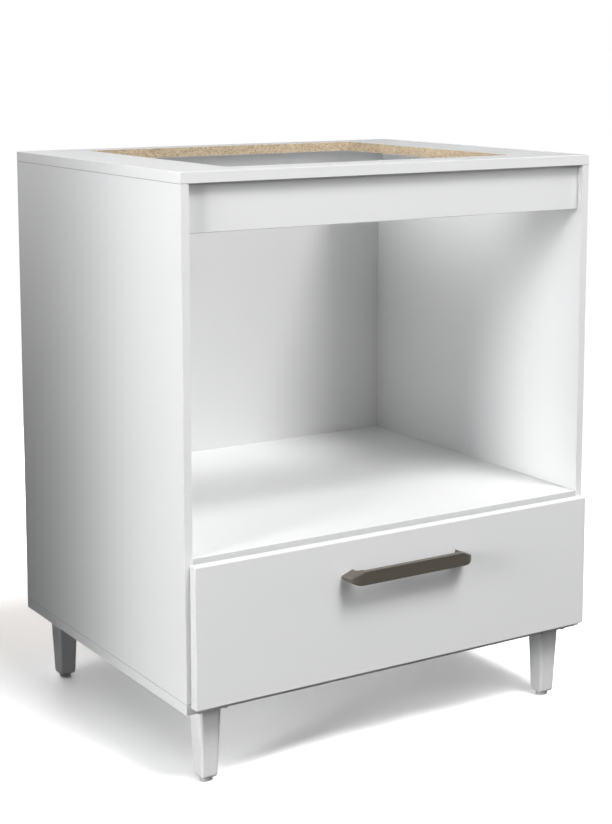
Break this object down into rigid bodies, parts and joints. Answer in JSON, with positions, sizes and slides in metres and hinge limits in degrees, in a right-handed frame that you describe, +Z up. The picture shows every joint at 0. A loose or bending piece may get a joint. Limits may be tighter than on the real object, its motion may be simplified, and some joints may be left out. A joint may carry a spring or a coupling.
{
  "type": "cooktop base cabinet",
  "caption": "Free-standing white base cabinet with a hob cut-out in its top, an open niche above one drawer on roller slides, a dark bow handle and tapered legs.",
  "frame": {"origin": "middle of the footprint's bounding box, on the floor", "axes": "+Z up, -Y towards the front that the drawer opens to, +X to the right seen from the front"},
  "size_m": [0.68, 0.578, 0.83],
  "materials": {
    "white_board": "satin white melamine laminate",
    "hardboard": "raw brown hardboard with one white side",
    "leg_plastic": "white moulded plastic, satin",
    "nylon": "translucent white nylon",
    "slide_steel": "white epoxy coating",
    "zinc": "bright zinc plating",
    "handle_metal": "satin dark taupe coating",
    "beech": "raw beech"
  },
  "bodies": {
    "cabinet": {"top_panel": "white_board", "bottom_panel": "white_board", "side_panel_left": "white_board", "side_panel_right": "white_board", "niche_shelf": "white_board", "front_apron": "white_board", "rear_rail": "white_board", "back_panel": "hardboard", "leg_front_left": "leg_plastic", "leg_front_right": "leg_plastic", "leg_rear_left": "leg_plastic", "leg_rear_right": "leg_plastic", "glide_front_left": "nylon", "glide_front_right": "nylon", "glide_rear_left": "nylon", "glide_rear_right": "nylon", "leg_screws": "zinc", "carcass_cams": "zinc", "carcass_cam_bolts": "zinc", "carcass_dowels": "beech", "base_screws": "zinc", "back_nails": "zinc", "slide_rail_left": "slide_steel", "slide_rail_right": "slide_steel", "slide_rail_pins": "zinc", "slide_rail_screws": "zinc"},
    "drawer": {"drawer_front": "white_board", "drawer_side_left": "white_board", "drawer_side_right": "white_board", "drawer_back": "white_board", "drawer_bottom": "hardboard", "drawer_cams": "zinc", "drawer_cam_bolts": "zinc", "drawer_back_screws": "zinc", "slide_runner_left": "slide_steel", "slide_runner_right": "slide_steel", "slide_runner_pins": "zinc", "slide_runner_screws": "zinc", "handle": "handle_metal", "handle_screws": "zinc"},
    "rail_roller_left": {"rail_roller_left": "nylon"},
    "rail_roller_right": {"rail_roller_right": "nylon"},
    "runner_roller_left": {"runner_roller_left": "nylon"},
    "runner_roller_right": {"runner_roller_right": "nylon"}
  },
  "joints": [
    {"name": "drawer_slide", "type": "slide", "parent": "cabinet", "child": "drawer", "axis": [0, -1, 0], "range_m": [0, 0.34]},
    {"name": "rail_roller_left_turn", "type": "hinge", "parent": "cabinet", "child": "rail_roller_left", "pos_m": [-0.323, -0.231, 0.1503], "axis": [1, 0, 0], "range_deg": [0, 1950]},
    {"name": "rail_roller_right_turn", "type": "hinge", "parent": "cabinet", "child": "rail_roller_right", "pos_m": [0.323, -0.231, 0.1503], "axis": [1, 0, 0], "range_deg": [0, 1950]},
    {"name": "runner_roller_left_turn", "type": "hinge", "parent": "drawer", "child": "runner_roller_left", "pos_m": [-0.3205, 0.19, 0.1503], "axis": [1, 0, 0], "range_deg": [0, 1950]},
    {"name": "runner_roller_right_turn", "type": "hinge", "parent": "drawer", "child": "runner_roller_right", "pos_m": [0.3205, 0.19, 0.1503], "axis": [1, 0, 0], "range_deg": [0, 1950]}
  ],
  "couplings": [
    {"joint": "rail_roller_left_turn", "follows": "drawer_slide", "rad_per_m": 100},
    {"joint": "rail_roller_right_turn", "follows": "drawer_slide", "rad_per_m": 100},
    {"joint": "runner_roller_left_turn", "follows": "drawer_slide", "rad_per_m": 100},
    {"joint": "runner_roller_right_turn", "follows": "drawer_slide", "rad_per_m": 100}
  ]
}
